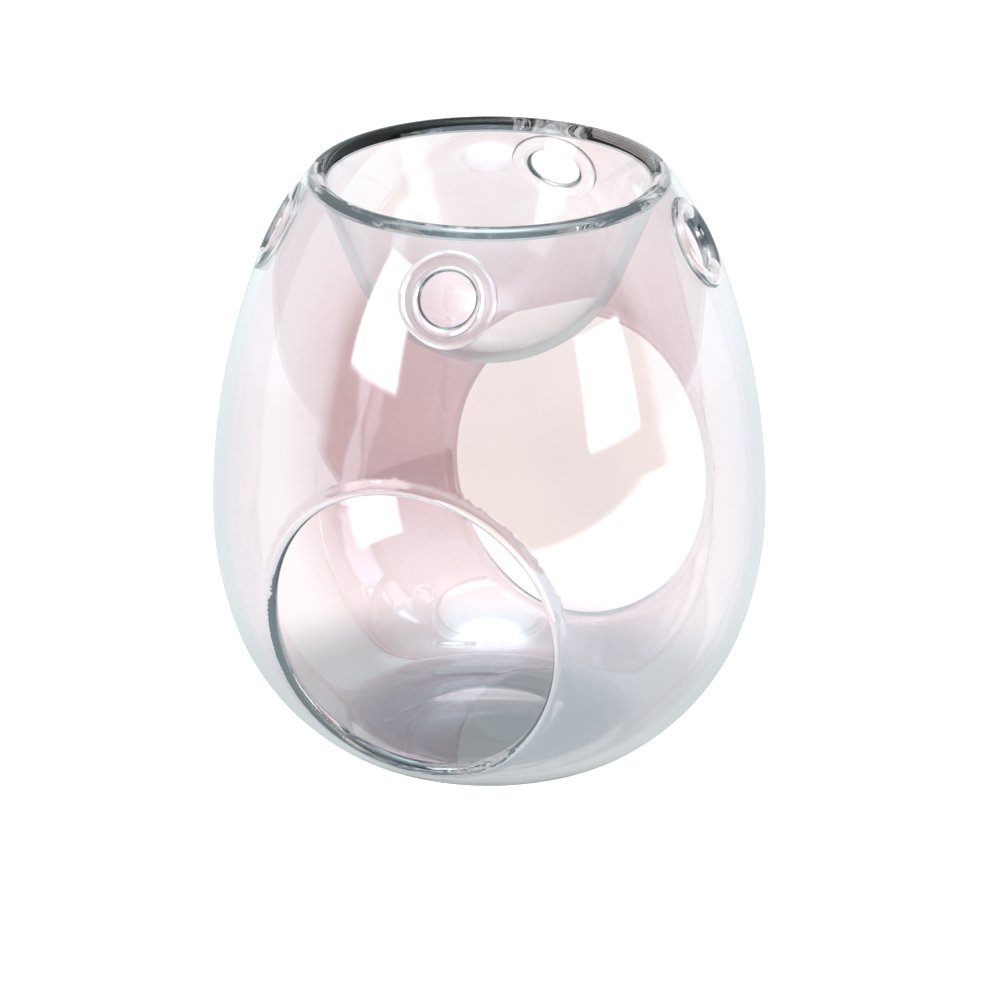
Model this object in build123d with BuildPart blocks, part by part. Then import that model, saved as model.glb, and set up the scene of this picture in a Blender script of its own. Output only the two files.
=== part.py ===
from build123d import *
import math
import os

# Wax melt warmer of blown glass. A rounded outer shell, open at two sides for a
# tealight and pierced by four vents near the top, is flame-sealed at its rim to a
# deep dish that holds the melting wax. Millimetres, +Z up, origin at the centre of
# the foot, front opening towards -Y.

# Outer shell, from foot to shoulder
overall_height = 120.0
belly_diameter = 110.0
belly_height = 50.0
lower_belly_radius = 70.0
foot_diameter = 40.0
foot_ring_width = 3.0
punt_depth = 1.2
shell_wall = 2.2
floor_thickness = 4.0
floor_corner_share = 0.16

# Leans of the outline away from upright where one arc meets the next, as shares of the
# lean of the straight line that the arcs span, below the belly and above it
heel_top_lean_share = 0.54
heel_foot_lean_share = 1.54
upper_belly_lean_share = 1.14
shoulder_lean_share = 2.16

# Rim, where both glasses roll over and are sealed together
rim_crest_diameter = 67.0
rim_roll_radius = 2.1
seal_crotch_cut = 1.0

# Dish
dish_depth = 36.0
dish_wall = 2.0
dish_lean = 21.0

# Side openings, cut through the wall and fire-polished
front_opening_width = 56.4
front_opening_height = 61.8
front_opening_centre = 41.0
front_opening_turn = 0.0
back_opening_width = 58.0
back_opening_height = 61.4
back_opening_centre = 41.9
back_opening_turn = 173.2
lip_round_share = 0.45

# Vents, poked by hand, so their spacing round the shoulder is a little uneven
vent_hole_diameter = 10.6
vent_lip_diameter = 19.8
vent_lip_rise = 0.5
vent_lip_round_share = 0.31
vent_drop = 11.3
vent_turns = (8.0, 97.0, 179.0, 287.0)

# Cuts reach past the glass by this much
overrun = 8.0


def cosine(lean):
    return math.cos(math.radians(lean))


def sine(lean):
    return math.sin(math.radians(lean))


def arc_pair(leans, across, up):
    """Radii of two tangent arcs, from lean to lean to lean, that span across and up."""
    first_across = cosine(leans[0]) - cosine(leans[1])
    second_across = cosine(leans[1]) - cosine(leans[2])
    first_up = sine(leans[1]) - sine(leans[0])
    second_up = sine(leans[2]) - sine(leans[1])
    spread = first_across * second_up - second_across * first_up
    first = (across * second_up - up * second_across) / spread
    second = (up * first_across - across * first_up) / spread
    return first, second


def wall_arcs(inset, shoulder_end_lean, heel_end_lean):
    """Arcs of one face of the wall, from the belly up the shoulder and down the heel."""
    belly = (belly_radius - inset, belly_height)
    upper = JernArc(belly, (0, 1), upper_radius - inset, upper_belly_lean)
    shoulder = JernArc(
        upper @ 1, upper % 1, shoulder_radius - inset, shoulder_end_lean - upper_belly_lean
    )
    lower = JernArc(belly, (0, -1), lower_belly_radius - inset, -heel_top_lean)
    heel = JernArc(lower @ 1, lower % 1, heel_radius - inset, heel_top_lean - heel_end_lean)
    return shoulder, heel


def facing_plane(turn, radius, height, lean=0.0):
    """Plane that faces out of the glass at a turn from the front, tipped up by a lean."""
    return Plane(
        origin=(radius * sine(turn), -radius * cosine(turn), height),
        x_dir=(cosine(turn), sine(turn), 0),
        z_dir=(sine(turn) * cosine(lean), -cosine(turn) * cosine(lean), sine(lean)),
    )


belly_radius = belly_diameter / 2
foot_radius = foot_diameter / 2
crest_radius = rim_crest_diameter / 2
dish_floor = overall_height - dish_depth
roll_height = overall_height - rim_roll_radius

# Leans of the outline, in degrees, where one arc meets the next
span_to_foot = math.degrees(math.atan2(belly_radius - foot_radius, belly_height))
heel_top_lean = heel_top_lean_share * span_to_foot
heel_foot_lean = heel_foot_lean_share * span_to_foot
span_to_rim = math.degrees(math.atan2(belly_radius - crest_radius, roll_height - belly_height))
upper_belly_lean = upper_belly_lean_share * span_to_rim
shoulder_lean = shoulder_lean_share * span_to_rim

# The rim rolls about a circle, which the shoulder and the dish leave at their leans
shoulder_top_radius = crest_radius + rim_roll_radius * cosine(shoulder_lean)
shoulder_top_height = roll_height + rim_roll_radius * sine(shoulder_lean)
dish_top_radius = crest_radius - rim_roll_radius * cosine(dish_lean)
dish_top_height = roll_height + rim_roll_radius * sine(dish_lean)

# Arcs above and below the belly, sized to end at the rim and at the foot
upper_radius, shoulder_radius = arc_pair(
    (0, upper_belly_lean, shoulder_lean),
    belly_radius - shoulder_top_radius,
    shoulder_top_height - belly_height,
)
heel_radius, foot_arc_radius = arc_pair(
    (heel_top_lean, heel_foot_lean, 90),
    belly_radius - foot_radius - lower_belly_radius * (1 - cosine(heel_top_lean)),
    belly_height - lower_belly_radius * sine(heel_top_lean),
)

# The dish is a straight flare that runs into a round bowl
dish_drop = dish_top_height - dish_floor
bowl_radius = (dish_top_radius * cosine(dish_lean) - dish_drop * sine(dish_lean)) / (
    1 - sine(dish_lean)
)
bowl_height = dish_floor + bowl_radius
bowl_top = (bowl_radius * cosine(dish_lean), bowl_height - bowl_radius * sine(dish_lean))
underside_radius = bowl_radius + dish_wall
underside_top = (
    underside_radius * cosine(dish_lean),
    bowl_height - underside_radius * sine(dish_lean),
)

# The shoulder's arc turns about a centre well beyond the axis
shoulder_centre = Vector(
    belly_radius - upper_radius + (upper_radius - shoulder_radius) * cosine(upper_belly_lean),
    belly_height + (upper_radius - shoulder_radius) * sine(upper_belly_lean),
)

# The punt under the foot is a shallow dome
punt_edge = (foot_radius - foot_ring_width, 0)
punt_radius = (punt_edge[0] ** 2 + punt_depth**2) / (2 * punt_depth)

# Half section of the hollow: under the dish, inside the wall and above the floor
with BuildSketch(Plane.XZ) as chamber:
    with BuildLine():
        CenterArc((0, bowl_height), underside_radius, -90, 90 - dish_lean)
        inner_shoulder = CenterArc(
            shoulder_centre, shoulder_radius - shell_wall, 0, 90, mode=Mode.PRIVATE
        )
        underside = IntersectingLine(
            underside_top, (sine(dish_lean), cosine(dish_lean)), inner_shoulder
        )
        crotch = underside @ 1
        crotch_lean = math.atan2(crotch.Y - shoulder_centre.Y, crotch.X - shoulder_centre.X)
        inner_heel = wall_arcs(shell_wall, math.degrees(crotch_lean), heel_foot_lean)[1]
        inner_foot = JernArc(
            inner_heel @ 1, inner_heel % 1, foot_arc_radius - shell_wall, heel_foot_lean - 90
        )
        Line(inner_foot @ 1, (0, shell_wall))
        Line((0, shell_wall), (0, dish_floor - dish_wall))
    make_face()
    # The floor is thicker than the wall, and its corner follows the foot's outer arc
    Rectangle(
        belly_radius, floor_thickness, align=(Align.MIN, Align.MIN), mode=Mode.SUBTRACT
    )
    floor_corner = chamber.vertices().group_by(Axis.Y)[0].sort_by(Axis.X)[-1]
    fillet(floor_corner, floor_corner_share * foot_arc_radius)
    chamfer(chamber.vertices().sort_by_distance(crotch)[0], seal_crotch_cut)

# Half section through both glasses as they are sealed
with BuildSketch(Plane.XZ) as glass:
    with BuildLine():
        # Outer face: punt, foot ring, wall and rolled rim, then down into the dish
        shoulder, heel = wall_arcs(0, shoulder_lean, heel_foot_lean)
        foot_arc = JernArc(heel @ 1, heel % 1, foot_arc_radius, heel_foot_lean - 90)
        Line(foot_arc @ 1, punt_edge)
        RadiusArc(punt_edge, (0, punt_depth), -punt_radius)
        roll = JernArc(
            shoulder @ 1, shoulder % 1, rim_roll_radius, 180 - shoulder_lean - dish_lean
        )
        Line(roll @ 1, bowl_top)
        CenterArc((0, bowl_height), bowl_radius, -90, 90 - dish_lean)
        Line((0, dish_floor), (0, punt_depth))
    make_face()
    add(chamber.sketch_local, mode=Mode.SUBTRACT)

# The two glasses part at the rim's crest, where the seal runs round
with BuildSketch(Plane.XZ) as dish_side:
    with Locations((0, dish_floor - dish_wall)):
        Rectangle(crest_radius, dish_depth + dish_wall, align=(Align.MIN, Align.MIN))

# Dish, the inner glass, from the seal down to its round floor
with BuildPart() as melt_dish:
    with BuildSketch(Plane.XZ):
        add(glass.sketch_local)
        add(dish_side.sketch_local, mode=Mode.INTERSECT)
    revolve(axis=Axis.Z)

side_openings = (
    (front_opening_width, front_opening_height, front_opening_centre, front_opening_turn),
    (back_opening_width, back_opening_height, back_opening_centre, back_opening_turn),
)
lip_radius = lip_round_share * shell_wall

# Each vent sits square to the shoulder, and its lip is a ring thicker than the wall. The
# ring is sunk by as much as the shoulder falls away from it at its outer edge.
vent_height = overall_height - vent_drop
vent_lean = math.degrees(math.asin((vent_height - shoulder_centre.Y) / shoulder_radius))
vent_centre_radius = shoulder_centre.X + shoulder_radius * cosine(vent_lean)
vent_lip_width = (vent_lip_diameter - vent_hole_diameter) / 2
vent_ring_radius = (vent_lip_diameter + vent_hole_diameter) / 4
vent_lip_thickness = shell_wall + 2 * vent_lip_rise
vent_lip_fall = (vent_lip_diameter / 2) ** 2 / (2 * shoulder_radius)
vent_lip_middle = -(shell_wall / 2 + vent_lip_fall)

# Outer shell, with its openings, their polished lips and the vents
with BuildPart() as outer_shell:
    with BuildSketch(Plane.XZ):
        add(glass.sketch_local)
        add(dish_side.sketch_local, mode=Mode.SUBTRACT)
    revolve(axis=Axis.Z)
    for width, height, centre, turn in side_openings:
        with BuildSketch(facing_plane(turn, 0, centre)):
            Ellipse(width / 2, height / 2)
        extrude(amount=belly_radius + overrun, mode=Mode.SUBTRACT)
        lip_edges = outer_shell.edges(Select.NEW).filter_by(GeomType.LINE, reverse=True)
        fillet(lip_edges, lip_radius)
    for turn in vent_turns:
        mouth = facing_plane(turn, vent_centre_radius, vent_height, vent_lean)
        with BuildSketch(mouth.offset(overrun)):
            Circle(vent_ring_radius)
        extrude(amount=-2 * overrun, mode=Mode.SUBTRACT)
        # A thickened ring of glass lines the hole and stands a little proud of the wall
        with BuildSketch(Plane(mouth.origin, x_dir=mouth.x_dir, z_dir=-mouth.y_dir)) as ring:
            with Locations((vent_ring_radius, vent_lip_middle)):
                Rectangle(vent_lip_width, vent_lip_thickness)
            chamfer(ring.vertices(), vent_lip_round_share * vent_lip_thickness)
        revolve(axis=Axis(mouth.origin, mouth.z_dir))

os.makedirs("parts", exist_ok=True)
outer_shell.part.label = "outer_shell"
export_step(outer_shell.part, "parts/outer_shell.step")
melt_dish.part.label = "melt_dish"
export_step(melt_dish.part, "parts/melt_dish.step")
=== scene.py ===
import math

import bpy
from mathutils import Matrix, Vector


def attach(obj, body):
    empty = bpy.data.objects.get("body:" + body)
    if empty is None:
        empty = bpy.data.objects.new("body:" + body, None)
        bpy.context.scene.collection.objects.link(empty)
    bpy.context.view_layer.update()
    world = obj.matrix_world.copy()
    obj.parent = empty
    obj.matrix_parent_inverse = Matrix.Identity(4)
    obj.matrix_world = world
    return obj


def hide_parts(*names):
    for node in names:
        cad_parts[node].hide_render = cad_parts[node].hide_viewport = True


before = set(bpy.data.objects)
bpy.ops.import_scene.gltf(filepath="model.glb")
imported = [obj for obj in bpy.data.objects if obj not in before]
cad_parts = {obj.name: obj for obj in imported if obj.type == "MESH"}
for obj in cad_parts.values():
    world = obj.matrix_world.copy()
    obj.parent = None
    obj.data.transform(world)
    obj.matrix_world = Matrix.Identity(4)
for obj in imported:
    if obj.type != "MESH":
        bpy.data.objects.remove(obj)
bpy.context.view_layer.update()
bpy.ops.object.select_all(action="DESELECT")


# The outer shell is one blown bubble of clear glass: a punt under the foot, a thick floor, a
# full belly and a shoulder that rolls over at the rim, where the dish is sealed to it. Its
# half section is drawn in millimetres, arc after tangent arc, and spun round the axis.
def start_section(name, radius, height):
    """A new piece of one point, from which its half section is drawn."""
    bpy.ops.mesh.primitive_plane_add(size=1.0, location=(0.0, 0.0, 0.0))
    piece = bpy.context.active_object
    piece.name = piece.data.name = name
    bpy.ops.object.mode_set(mode="EDIT")
    bpy.ops.mesh.select_all(action="SELECT")
    bpy.ops.mesh.merge(type="CENTER")
    bpy.ops.transform.translate(value=(radius, 0.0, height))
    return piece


def draw_arc(centre, turn, steps):
    """Carries the section on round a centre, anticlockwise for a positive turn in degrees."""
    bpy.ops.mesh.spin(
        steps=steps,
        angle=math.radians(turn),
        center=(centre[0], 0.0, centre[1]),
        axis=(0.0, 1.0, 0.0),
    )


def draw_line(*runs):
    """Carries the section on in straight runs, each so far across and so far up."""
    for across, up in runs:
        bpy.ops.mesh.extrude_region_move(TRANSFORM_OT_translate={"value": (across, 0.0, up)})


def spin_glass(piece, steps):
    """Spins the section into a closed glass. The faces of its seal get the seam's slot."""
    bpy.ops.mesh.select_all(action="SELECT")
    bpy.ops.mesh.spin(
        steps=steps, angle=2 * math.pi, center=(0.0, 0.0, 0.0), axis=(0.0, 0.0, 1.0)
    )
    bpy.ops.mesh.select_all(action="SELECT")
    bpy.ops.mesh.remove_doubles(threshold=doubles_within)
    bpy.ops.mesh.normals_make_consistent(inside=False)
    bpy.ops.object.mode_set(mode="OBJECT")
    for face in piece.data.polygons:
        spots = [piece.data.vertices[i].co for i in face.vertices]
        if all(
            abs(math.hypot(s.x, s.y) - seam_radius) < seam_slack and s.z > seam_foot - seam_slack
            for s in spots
        ):
            face.material_index = seam_slot


overall_height, wall, spin_steps = 120.0, 2.2, 288
# Leans of the outline away from upright, in degrees, where one arc meets the next
heel_foot_lean, heel_top_lean, upper_lean, shoulder_lean = 53.8877, 18.8957, 20.0298, 37.9512
# Each arc's centre, across and up, and the radius of its outer face where it is asked for
punt_depth, punt_centre, punt_lean = 1.2, (0.0, -119.8167), 8.0753
foot_ring_width, foot_centre = 3.0, (20.0, 24.7541)
heel_centre, heel_radius, heel_steps = (7.1010, 42.4350), 46.6401, 26
lower_centre, lower_radius, lower_steps = (-15.0, 50.0), 70.0, 20
upper_centre, upper_radius, upper_steps = (-88.0390, 50.0), 143.0390, 42
shoulder_centre, shoulder_steps = (-23.2993, 73.6014), 22
roll_centre = (33.5, 117.9)
floor_corner_centre, floor_corner_lean = (27.9810, 7.9607), 64.5808
# The seam runs from the crest down to a small cut in the crotch between the glasses
seam_radius, seam_foot, crotch_cut_across, crotch_cut_up = 33.5, 117.018, 0.497, 0.073
seam_slack, doubles_within = 0.01, 0.002
# A glass's first material slot is for its wall, and these are for its lips and its seam
lip_slot, seam_slot = 1, 2

shell_glass = start_section("outer_shell_glass", 0.0, punt_depth)
draw_arc(punt_centre, -punt_lean, steps=6)
draw_line((foot_ring_width, 0.0))
draw_arc(foot_centre, 90 - heel_foot_lean, steps=14)
draw_arc(heel_centre, heel_foot_lean - heel_top_lean, heel_steps)
draw_arc(lower_centre, heel_top_lean, lower_steps)
draw_arc(upper_centre, upper_lean, upper_steps)
draw_arc(shoulder_centre, shoulder_lean - upper_lean, shoulder_steps)
draw_arc(roll_centre, 90 - shoulder_lean, steps=20)
draw_line((0.0, seam_foot - overall_height), (crotch_cut_across, crotch_cut_up))
# From the crotch the inner face runs back down to the floor
crotch_lean = math.degrees(
    math.atan2(
        seam_foot + crotch_cut_up - shoulder_centre[1],
        seam_radius + crotch_cut_across - shoulder_centre[0],
    )
)
draw_arc(shoulder_centre, upper_lean - crotch_lean, shoulder_steps)
draw_arc(upper_centre, -upper_lean, upper_steps)
draw_arc(lower_centre, -heel_top_lean, lower_steps)
draw_arc(heel_centre, heel_top_lean - heel_foot_lean, heel_steps)
draw_arc(foot_centre, heel_foot_lean - floor_corner_lean, steps=5)
draw_arc(floor_corner_centre, floor_corner_lean - 90, steps=6)
draw_line((-floor_corner_centre[0], 0.0))
spin_glass(shell_glass, spin_steps)


# The two side openings are cut from the hot wall and fire-polished, so that each lip is drawn
# up by the flame into a bead a little thicker than the wall. The cut and the bead both follow
# the wall's middle, where the oval of the opening meets it.
def middle_of_wall(across, height, turn):
    """Point on the middle of the wall at a height, and the way out of the glass there."""
    if height > lower_centre[1]:
        centre, radius = upper_centre, upper_radius - wall / 2
    elif height > heel_top_height:
        centre, radius = lower_centre, lower_radius - wall / 2
    else:
        centre, radius = heel_centre, heel_radius - wall / 2
    lean = math.asin((height - centre[1]) / radius)
    reach = centre[0] + radius * math.cos(lean)
    side = math.asin(across / reach) + math.radians(turn)
    spot = Vector((reach * math.sin(side), -reach * math.cos(side), height))
    out = Vector(
        (math.sin(side) * math.cos(lean), -math.cos(side) * math.cos(lean), math.sin(lean))
    )
    return spot, out


def oval_spot(opening, spread, angle):
    """Point of an opening's oval on the wall, widened by a spread, the way out of the glass
    there and the way away from the opening."""
    width, height, centre, turn = opening

    def at(a):
        return middle_of_wall(
            (width / 2 + spread) * math.cos(a),
            centre + (height / 2 + spread) * math.sin(a),
            turn,
        )

    spot, out = at(angle)
    along = at(angle + nudge)[0] - at(angle - nudge)[0]
    return spot, out, along.cross(out).normalized()


def oval_bead(v, torus_radius, outward, inward, thickness):
    """Flattens a torus into a bead: how far a point of it goes away from the hole and out."""
    round_way = math.atan2(v.co.z, math.hypot(v.co.x, v.co.y) - torus_radius)
    reach = outward if math.cos(round_way) > 0 else inward
    span = math.hypot(reach * math.cos(round_way), thickness * math.sin(round_way))
    return (
        reach**2 * math.cos(round_way) / span,
        thickness**2 * math.sin(round_way) / span,
    )


# Width, height, height of the centre and turn from the front of each opening
side_openings = ((56.4, 61.8, 41.0, 0.0), (58.0, 61.4, 41.9, 173.2))
heel_top_height, nudge = 27.69, 0.001
# The bead reaches further into the wall than into the opening, and laps the cut's edge. The
# plug that cuts the opening comes to a point at both ends, measured from the axis.
bead_radius, bead_reach, bead_lap, bead_segments = 1.3, 3.1, 0.3, 40
oval_segments, torus_radius = 224, 10.0
plug_half_depth, plug_root, plug_tip = 4.0, 20.0, 95.0
plugs, lips = [], []
for opening in side_openings:
    bpy.ops.object.select_all(action="DESELECT")
    bpy.ops.mesh.primitive_cylinder_add(
        vertices=oval_segments, radius=1.0, depth=2.0, end_fill_type="TRIFAN"
    )
    plug = bpy.context.active_object
    centre, turn = opening[2:]
    for v in plug.data.vertices:
        if math.hypot(v.co.x, v.co.y) < 0.5:
            out = Matrix.Rotation(math.radians(turn), 3, "Z") @ Vector((0.0, -1.0, 0.0))
            v.co = out * (plug_tip if v.co.z > 0 else plug_root) + Vector((0.0, 0.0, centre))
        else:
            angle = math.atan2(v.co.y, v.co.x)
            spot, out = oval_spot(opening, bead_radius + bead_lap, angle)[:2]
            v.co = spot + out * plug_half_depth * v.co.z
    plugs.append(plug)
    bpy.ops.mesh.primitive_torus_add(
        major_segments=oval_segments,
        minor_segments=bead_segments,
        major_radius=torus_radius,
        minor_radius=1.0,
    )
    lip = bpy.context.active_object
    for v in lip.data.vertices:
        spot, out, away = oval_spot(opening, bead_radius, math.atan2(v.co.y, v.co.x))
        aside, proud = oval_bead(v, torus_radius, bead_reach, bead_radius, bead_radius)
        v.co = spot + away * aside + out * proud
    lips.append(lip)


# The four vents in the shoulder are poked through the hot wall by hand, a little unevenly
# spaced. The pushed-back glass gathers as a thick rounded ring round each hole.
vent_lean, vent_reach, vent_height = 28.27, 42.0, 108.7
vent_turns, vent_segments, vent_plug_depth = (8.0, 97.0, 179.0, 287.0), 96, 14.0
ring_radius, ring_sink, ring_half_width, ring_half_thickness = 7.6, 1.763, 2.3, 1.6
ring_segments, ring_round_segments = 112, 36
for turn in vent_turns:
    tip = (math.radians(90 - vent_lean), 0.0, math.radians(turn))
    out = Matrix.Rotation(tip[2], 3, "Z") @ Matrix.Rotation(tip[0], 3, "X") @ Vector((0, 0, 1))
    mouth = Vector(
        (
            vent_reach * math.sin(tip[2]),
            -vent_reach * math.cos(tip[2]),
            vent_height,
        )
    )
    bpy.ops.object.select_all(action="DESELECT")
    bpy.ops.mesh.primitive_cylinder_add(
        vertices=vent_segments,
        radius=ring_radius,
        depth=vent_plug_depth,
        location=mouth,
        rotation=tip,
    )
    bpy.ops.object.transform_apply(location=True, rotation=True, scale=True)
    plugs.append(bpy.context.active_object)
    bpy.ops.mesh.primitive_torus_add(
        major_segments=ring_segments,
        minor_segments=ring_round_segments,
        major_radius=ring_radius,
        minor_radius=1.0,
    )
    ring = bpy.context.active_object
    for v in ring.data.vertices:
        spoke = Vector((v.co.x, v.co.y, 0.0)).normalized()
        aside, proud = oval_bead(
            v, ring_radius, ring_half_width, ring_half_width, ring_half_thickness
        )
        v.co = spoke * (ring_radius + aside)
        v.co.z = proud
    ring.location = mouth - out * ring_sink
    ring.rotation_euler = tip
    bpy.ops.object.transform_apply(location=True, rotation=True, scale=True)
    lips.append(ring)


def join_glass(members):
    """Joins several meshes into the first one."""
    bpy.ops.object.select_all(action="DESELECT")
    for member in members:
        member.select_set(True)
    bpy.context.view_layer.objects.active = members[0]
    bpy.ops.object.join()
    return members[0]


plugs, lips = join_glass(plugs), join_glass(lips)
for face in lips.data.polygons:
    face.material_index = lip_slot


def bare_finish(name):
    """A new material that is still to get its finish."""
    finish = bpy.data.materials.new(name)
    finish.use_nodes = True
    return finish


wall_glass, lip_glass, seam_glass = (bare_finish(n) for n in ("lustre_and_shade_wall", "lustre_and_shade_lip", "seam"))
for piece in (shell_glass, plugs, lips):
    piece.data.materials.clear()
    for glass in (wall_glass, lip_glass, seam_glass):
        piece.data.materials.append(glass)
# The plugs are cut out of the wall, and then the lips become one glass with it
for cut, tool in (("DIFFERENCE", plugs), ("UNION", lips)):
    bpy.ops.object.select_all(action="DESELECT")
    shell_glass.select_set(True)
    bpy.context.view_layer.objects.active = shell_glass
    change = shell_glass.modifiers.new(cut.lower(), "BOOLEAN")
    change.operation, change.object, change.solver = cut, tool, "EXACT"
    bpy.ops.object.modifier_apply(modifier=change.name)
    bpy.data.objects.remove(tool)


# The shell is clear glass under a pearl lustre, a very thin fired film that mirrors the cool
# light and lets the rose through. It is a little clouded, and its rose is deepened on the back
# of the belly as painted shade. The seal at the rim is one glass with the dish's, so its faces are
# left see-through.
def clear_glass(glass):
    """Gives a material the look of clear polished glass, and returns its shader."""
    shader = glass.node_tree.nodes["Principled BSDF"]
    shader.inputs["Base Color"].default_value = (1.0, 1.0, 1.0, 1.0)
    shader.inputs["Roughness"].default_value = 0.0
    shader.inputs["IOR"].default_value = glass_ior
    shader.inputs["Transmission Weight"].default_value = 1.0
    return shader


def sums(tree):
    """Adds math nodes to a tree. Each value is a number or another node's output."""

    def step(operation, *values):
        node = tree.nodes.new("ShaderNodeMath")
        node.operation = operation
        for socket, value in zip(node.inputs, values):
            if isinstance(value, float):
                socket.default_value = value
            else:
                tree.links.new(value, socket)
        return node.outputs[0]

    return step


def length_of(tree, across, along):
    """Length of the way that goes so far across and so far along."""
    step = sums(tree)
    return step("SQRT", step("ADD", step("POWER", across, 2.0), step("POWER", along, 2.0)))


def ramp_over(tree, value, low, high, start=0.0, end=1.0):
    """Smooth step from start to end while a value goes from low to high."""
    node = tree.nodes.new("ShaderNodeMapRange")
    node.interpolation_type = "SMOOTHSTEP"
    for name, number in (
        ("From Min", low),
        ("From Max", high),
        ("To Min", start),
        ("To Max", end),
    ):
        node.inputs[name].default_value = number
    tree.links.new(value, node.inputs["Value"])
    return node.outputs["Result"]


def mix_of(tree, factor, first, second):
    """Colour between two fixed ones."""
    node = tree.nodes.new("ShaderNodeMix")
    node.data_type = "RGBA"
    colours = [socket for socket in node.inputs if socket.type == "RGBA"]
    colours[0].default_value, colours[1].default_value = (*first, 1.0), (*second, 1.0)
    tree.links.new(factor, node.inputs["Factor"])
    return next(socket for socket in node.outputs if socket.type == "RGBA")


def finish_glass(piece, node):
    """Brings a piece from millimetres to metres, smooths it and lets it stand for its node."""
    bpy.ops.object.select_all(action="DESELECT")
    piece.select_set(True)
    bpy.context.view_layer.objects.active = piece
    piece.scale = (millimetre, millimetre, millimetre)
    bpy.ops.object.transform_apply(location=True, rotation=True, scale=True)
    kinds = {}
    for face in piece.data.polygons:
        for edge in face.edge_keys:
            kinds.setdefault(edge, set()).add(face.material_index)
    for edge in piece.data.edges:
        edge.use_edge_sharp = len(kinds.get(edge.key, ())) > 1
    bpy.ops.object.shade_smooth_by_angle(angle=math.radians(crease), keep_sharp_edges=True)
    evened = piece.modifiers.new("evened", "WEIGHTED_NORMAL")
    evened.keep_sharp = True
    bpy.ops.object.modifier_apply(modifier=evened.name)
    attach(piece, "root")
    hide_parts(node)


millimetre, crease, glass_ior, film_ior = 0.001, 20.0, 1.5, 2.3
# The clouds' grain, the noise from which they go from thin to thick, and what they change:
# the strength of the rose, and the film's thickness in nanometres
cloud_scale, cloud_detail, cloud_noise = 30.0, 2.0, (0.3, 0.7)
cloud_weak, cloud_strong, film_thin, film_thick = 0.85, 1.1, 40.0, 50.0
pale_tint, rose_painted_shade_tint = (0.98, 0.92, 0.965), (0.79, 0.57, 0.62)
# Painted shade deepens the rose to the back and a little to the left, and fades over these heights
# in metres
back_across, back_along, back_share = -0.3, 0.95, (0.5, 0.8)
belly_rise, belly_fade, belly_least = (0.006, 0.045), (0.065, 0.1), 0.35

for glass in (wall_glass, lip_glass):
    shader = clear_glass(glass)
    tree = glass.node_tree
    step = sums(tree)
    coordinates = tree.nodes.new("ShaderNodeTexCoord")
    spot = tree.nodes.new("ShaderNodeSeparateXYZ")
    tree.links.new(coordinates.outputs["Object"], spot.inputs["Vector"])
    cloud = tree.nodes.new("ShaderNodeTexNoise")
    cloud.inputs["Scale"].default_value = cloud_scale
    cloud.inputs["Detail"].default_value = cloud_detail
    tree.links.new(coordinates.outputs["Object"], cloud.inputs["Vector"])
    x, y, z = (spot.outputs[name] for name in "XYZ")
    behind = step(
        "DIVIDE",
        step("ADD", step("MULTIPLY", x, back_across), step("MULTIPLY", y, back_along)),
        length_of(tree, x, y),
    )
    belly = step(
        "MULTIPLY",
        ramp_over(tree, z, *belly_rise, start=belly_least),
        ramp_over(tree, z, *belly_fade, start=1.0, end=0.0),
    )
    # How far the rose is deepened by painted shade on the back of the belly, varied by the clouds
    rose_under_painted_shade = step(
        "MULTIPLY",
        step("MULTIPLY", belly, ramp_over(tree, behind, *back_share)),
        ramp_over(tree, cloud.outputs["Fac"], *cloud_noise, start=cloud_weak, end=cloud_strong),
    )
    tree.links.new(mix_of(tree, rose_under_painted_shade, pale_tint, rose_painted_shade_tint), shader.inputs["Base Color"])
    film = ramp_over(
        tree, cloud.outputs["Fac"], *cloud_noise, start=film_thin, end=film_thick
    )
    tree.links.new(film, shader.inputs["Thin Film Thickness"])
    shader.inputs["Thin Film IOR"].default_value = film_ior

nodes, links = seam_glass.node_tree.nodes, seam_glass.node_tree.links
see_through = nodes.new("ShaderNodeBsdfTransparent")
links.new(see_through.outputs[0], nodes["Material Output"].inputs["Surface"])

finish_glass(shell_glass, "outer_shell")


# The melt dish is a second blown glass, a straight flare that runs into a round bowl. It is
# clear, with no lustre. Its edge rolls over and meets the shell's at the crest of the rim,
# where the flame sealed them.
dish_lean, bowl_centre, bowl_steps, dish_floor = 21.0, (0.0, 110.536), 44, 84.0
flare_across, flare_up = 6.7665, 17.6266
under_flare_across, under_flare_up = 6.3873, 16.6394
dish_crotch_across, dish_crotch_up = 0.472, 0.069
dish_glass_piece = start_section("melt_dish_glass", 0.0, dish_floor)
draw_arc(bowl_centre, 90 - dish_lean, bowl_steps)
draw_line((flare_across, flare_up))
draw_arc(roll_centre, dish_lean - 90, steps=26)
draw_line(
    (0.0, seam_foot - overall_height),
    (-dish_crotch_across, -dish_crotch_up),
    (-under_flare_across, -under_flare_up),
)
draw_arc(bowl_centre, dish_lean - 90, bowl_steps)
spin_glass(dish_glass_piece, spin_steps)
dish_wall = bare_finish("dish_wall")
clear_glass(dish_wall)
# The dish has no lips, so its own glass also fills their slot
for glass in (dish_wall, dish_wall, seam_glass):
    dish_glass_piece.data.materials.append(glass)

finish_glass(dish_glass_piece, "melt_dish")


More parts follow.
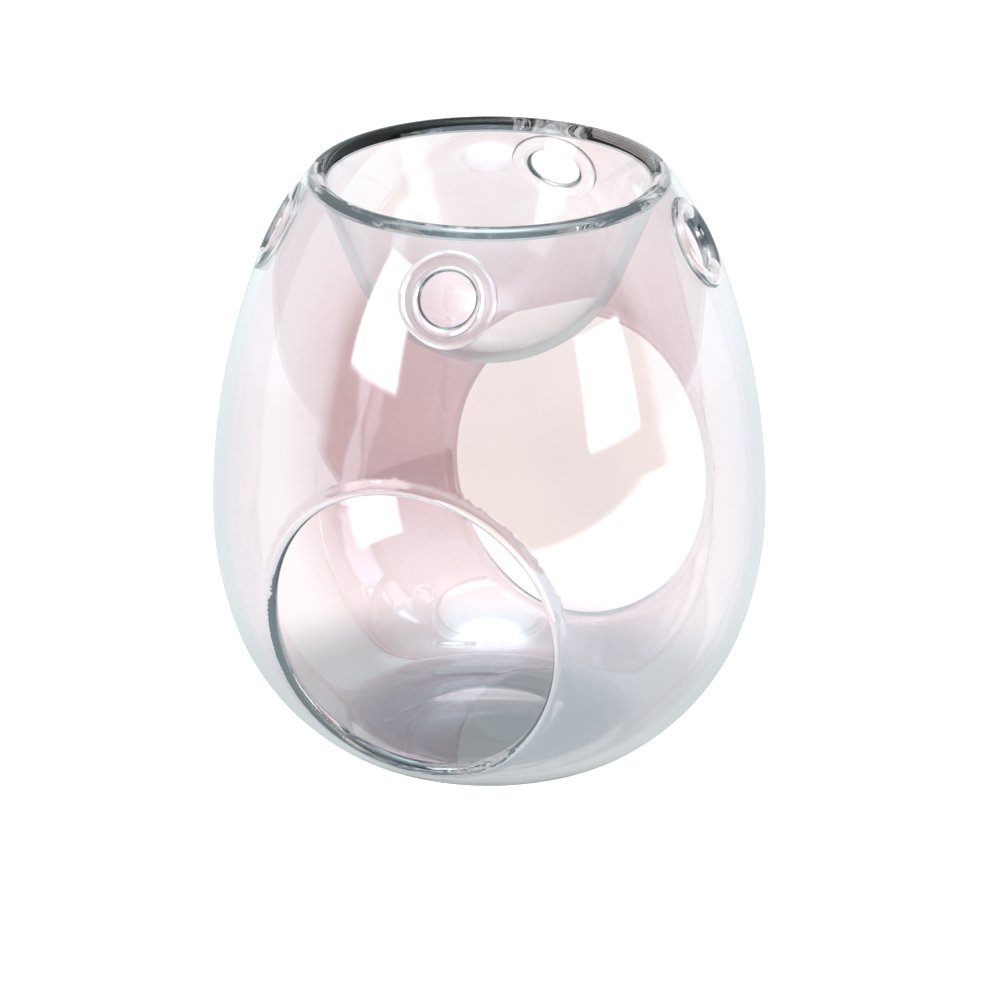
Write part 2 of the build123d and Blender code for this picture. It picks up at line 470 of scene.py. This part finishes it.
# The photograph's camera looks at the glass from the front, a little from the right and from
# above, through a long lens.
camera_turn, camera_rise = math.radians(18.84), math.radians(22.42)
camera_distance, camera_lens, camera_sensor = 0.989, 178.7, 36.0
aim_right, aim_height = 0.0021, 0.0508
nearest, farthest = 0.05, 50.0
aim = Vector((aim_right * math.cos(camera_turn), aim_right * math.sin(camera_turn), aim_height))
view_from = Vector(
    (
        math.sin(camera_turn) * math.cos(camera_rise),
        -math.cos(camera_turn) * math.cos(camera_rise),
        math.sin(camera_rise),
    )
)
bpy.ops.object.camera_add(
    location=aim + camera_distance * view_from,
    rotation=view_from.to_track_quat("Z", "Y").to_euler(),
)
camera = bpy.context.active_object
camera.data.lens, camera.data.sensor_width = camera_lens, camera_sensor
camera.data.clip_start, camera.data.clip_end = nearest, farthest
bpy.context.scene.camera = camera


# The studio is plain white, but clear glass shows what it mirrors. So reflections meet their
# own surroundings, laid out as in the photograph: a dim room in front between lit walls, a
# bright ceiling, two windows, and a white table that ends in front of the glass.
def about_room(tree, output):
    """A direction or a place in the room, which is turned as the photograph's camera is:
    to the right, toward the front and up."""
    coordinates = tree.nodes.new("ShaderNodeTexCoord")
    turned = tree.nodes.new("ShaderNodeMapping")
    turned.inputs["Rotation"].default_value = (0.0, 0.0, -camera_turn)
    split = tree.nodes.new("ShaderNodeSeparateXYZ")
    tree.links.new(coordinates.outputs[output], turned.inputs["Vector"])
    tree.links.new(turned.outputs["Vector"], split.inputs["Vector"])
    toward = sums(tree)("MULTIPLY", split.outputs["Y"], -1.0)
    return split.outputs["X"], toward, split.outputs["Z"]


def bearing_of(tree, right, toward):
    """Bearing in degrees, from the room's front round to the right."""
    step = sums(tree)
    return step("DEGREES", step("ARCTAN2", right, toward))


def between(tree, value, low, high, soft):
    """One where a value lies between two limits, else nothing."""
    above = ramp_over(tree, value, low - soft, low + soft)
    below = ramp_over(tree, value, high - soft, high + soft, start=1.0, end=0.0)
    return sums(tree)("MULTIPLY", above, below)


def blend(tree, factor, first, second):
    """Number between two others, each a float or an output."""
    step = sums(tree)
    rest = step("SUBTRACT", 1.0, factor)
    return step("ADD", step("MULTIPLY", rest, first), step("MULTIPLY", factor, second))


def light_up(tree, shader, straight, mirrored):
    """Gives a light one strength for reflections, which are cool, and another for the rest."""
    path = tree.nodes.new("ShaderNodeLightPath")
    glossy = sums(tree)("MINIMUM", path.outputs["Glossy Depth"], 1.0)
    tree.links.new(blend(tree, glossy, straight, mirrored), shader.inputs["Strength"])
    cool = mix_of(tree, glossy, (1.0, 1.0, 1.0), cool_tint)
    tree.links.new(cool, shader.inputs["Color"])


white, cool_tint = 1.3, (0.90, 1.0, 1.0)
# Bearings and rises are in degrees. The dim room lies between the two side walls, and gets
# lighter from the floor up.
room_sides, room_soft, wall_light = (-73.0, 77.0), 4.0, 0.62
dim_rises, dim_foot, dim_top = (0.0, 48.0), 0.13, 0.55
# The ceiling takes over above the walls, and is brightest right over the glass
ceiling_edge, ceiling_rises, ceiling_low, ceiling_high = (45.0, 56.0), (50.0, 75.0), 0.85, 1.5
lamp_rises, lamp_light = (72.0, 80.0), 1.6
# West and east side, sill and head of each window
windows = ((-66.0, -42.0, 10.0, 40.0), (43.0, 67.0, 1.0, 20.0))
window_soft, window_light = 1.0, 2.2

world = bpy.data.worlds.new("studio")
bpy.context.scene.world = world
world.use_nodes = True
tree = world.node_tree
step = sums(tree)
right, toward, up = about_room(tree, "Generated")
bearing = bearing_of(tree, right, toward)
rise = step("DEGREES", step("ARCSINE", up))
dim_room = ramp_over(tree, rise, *dim_rises, start=dim_foot, end=dim_top)
light = blend(tree, between(tree, bearing, *room_sides, room_soft), wall_light, dim_room)
ceiling = step(
    "ADD",
    ramp_over(tree, rise, *ceiling_rises, start=ceiling_low, end=ceiling_high),
    ramp_over(tree, rise, *lamp_rises, start=0.0, end=lamp_light),
)
light = blend(tree, ramp_over(tree, rise, *ceiling_edge), light, ceiling)
for west, east, sill, head in windows:
    window = step(
        "MULTIPLY",
        between(tree, bearing, west, east, window_soft),
        between(tree, rise, sill, head, window_soft),
    )
    light = step("ADD", light, step("MULTIPLY", window, window_light))
light_up(tree, tree.nodes["Background"], white, light)

# Light that the table gives to reflections, over distances in metres: little at the foot of the
# glass, which is a painted shadow, more round it, and a little more again further out and at the
# back
foot_reach, foot_light, near_light = (0.022, 0.034), 0.2, 0.7
round_reach, round_light = (0.04, 0.1), 0.15
back_reach, back_light = (-0.5, -0.1), 0.15
# Past its front and right edges is the dark floor of the room
front_edge, right_edge, dark_floor = (0.30, 0.32), (0.64, 0.68), 0.15
# What shows of the table through the glass is in the glass's own shade
shade_reach, shade_foot, shade_rim, open_reach = (0.018, 0.04), 0.12, 0.55, (0.045, 0.075)

floor_size = 12.0
bpy.ops.mesh.primitive_plane_add(size=floor_size, location=(0.0, 0.0, 0.0))
floor = bpy.context.active_object
floor.name = "floor"
surface = bare_finish("white_table")
floor.data.materials.append(surface)
tree = surface.node_tree
step = sums(tree)
glow = tree.nodes.new("ShaderNodeEmission")
tree.links.new(glow.outputs[0], tree.nodes["Material Output"].inputs["Surface"])
right, toward = about_room(tree, "Object")[:2]
reach = length_of(tree, right, toward)
# The table's light in reflections, with a painted shadow round the foot of the glass
table = step(
    "ADD",
    ramp_over(tree, reach, *foot_reach, start=foot_light, end=near_light),
    step(
        "ADD",
        ramp_over(tree, reach, *round_reach, start=0.0, end=round_light),
        ramp_over(tree, toward, *back_reach, start=back_light, end=0.0),
    ),
)
off_table = step(
    "MAXIMUM", ramp_over(tree, toward, *front_edge), ramp_over(tree, right, *right_edge)
)
in_room = between(tree, bearing_of(tree, right, toward), *room_sides, room_soft)
mirrored = blend(tree, step("MULTIPLY", in_room, off_table), table, dark_floor)
shaded = step(
    "ADD",
    ramp_over(tree, reach, *shade_reach, start=shade_foot, end=shade_rim),
    ramp_over(tree, reach, *open_reach, start=0.0, end=white - shade_rim),
)
path = tree.nodes.new("ShaderNodeLightPath")
through_glass = step("MINIMUM", path.outputs["Transmission Depth"], 1.0)
light_up(tree, glow, blend(tree, through_glass, white, shaded), mirrored)

# Light passes many faces of clear glass on its way
glass_bounces, mirror_bounces = 32, 16
scene = bpy.context.scene
scene.view_settings.view_transform = "Standard"
scene.cycles.max_bounces = glass_bounces
scene.cycles.transmission_bounces = glass_bounces
scene.cycles.glossy_bounces = mirror_bounces
scene.cycles.transparent_max_bounces = glass_bounces
